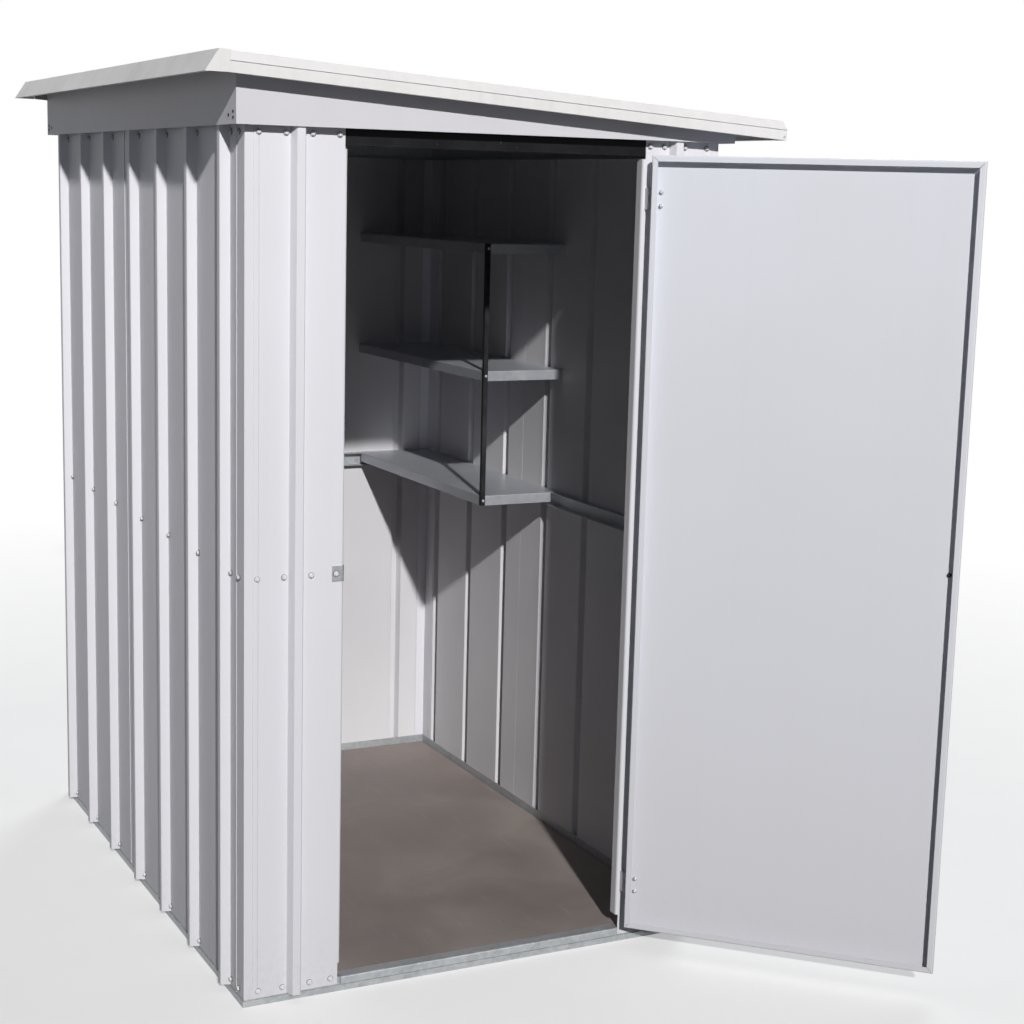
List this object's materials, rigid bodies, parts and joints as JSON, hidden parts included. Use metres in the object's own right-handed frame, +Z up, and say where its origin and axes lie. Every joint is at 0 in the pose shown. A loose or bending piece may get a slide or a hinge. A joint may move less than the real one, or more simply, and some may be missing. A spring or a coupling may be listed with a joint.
{
  "type": "metal storage shed",
  "caption": "Small ribbed-steel garden shed with a single-pitch roof, an outward-opening door and shelves along one wall.",
  "frame": {"origin": "middle of the wall sheets' rectangular footprint, on the ground plane under the base rails", "axes": "+Z up; the doorway faces -Y; +X points from the high left wall to the low right wall"},
  "size_m": [1.4887, 2.0958, 1.9301],
  "materials": {
    "sheet_steel": "satin",
    "galvanised_steel": "matte",
    "trim_steel": "satin",
    "floor_board": "matte"
  },
  "bodies": {
    "shed": {"base_rail_left": "galvanised_steel", "base_rail_right": "galvanised_steel", "base_rail_back": "galvanised_steel", "base_rail_front": "galvanised_steel", "door_sill": "galvanised_steel", "floor_panel": "floor_board", "corner_angle_front_left": "sheet_steel", "corner_angle_front_right": "sheet_steel", "corner_angle_back_left": "sheet_steel", "corner_angle_back_right": "sheet_steel", "left_wall_front_sheet": "sheet_steel", "left_wall_back_sheet": "sheet_steel", "right_wall_front_sheet": "sheet_steel", "right_wall_back_sheet": "sheet_steel", "back_wall_sheet": "sheet_steel", "front_panel_left": "sheet_steel", "front_panel_right": "sheet_steel", "mid_rail_left": "galvanised_steel", "mid_rail_right": "galvanised_steel", "mid_rail_back": "galvanised_steel", "mid_rail_front_left": "galvanised_steel", "mid_rail_front_right": "galvanised_steel", "top_rail_left": "galvanised_steel", "top_rail_right": "galvanised_steel", "top_rail_back": "galvanised_steel", "door_header": "galvanised_steel", "left_fascia": "sheet_steel", "right_fascia": "sheet_steel", "front_fascia": "sheet_steel", "back_fascia": "sheet_steel", "roof_sheet_front": "sheet_steel", "roof_sheet_back": "sheet_steel", "roof_trim_front": "trim_steel", "roof_trim_back": "trim_steel", "roof_trim_low": "trim_steel", "roof_trim_high": "trim_steel", "shelf_lower": "galvanised_steel", "shelf_middle": "galvanised_steel", "shelf_top": "galvanised_steel", "shelf_post": "galvanised_steel", "striker_bracket": "galvanised_steel", "lower_hinge_frame_leaf": "galvanised_steel", "upper_hinge_frame_leaf": "galvanised_steel"},
    "door": {"door": "sheet_steel", "door_pull": "galvanised_steel", "lower_hinge_door_leaf": "galvanised_steel", "upper_hinge_door_leaf": "galvanised_steel"}
  },
  "joints": [
    {"name": "door_swing", "type": "hinge", "parent": "shed", "child": "door", "pos_m": [0.3565, -0.778, 0], "axis": [0, 0, 1], "range_deg": [-135, 30]}
  ]
}
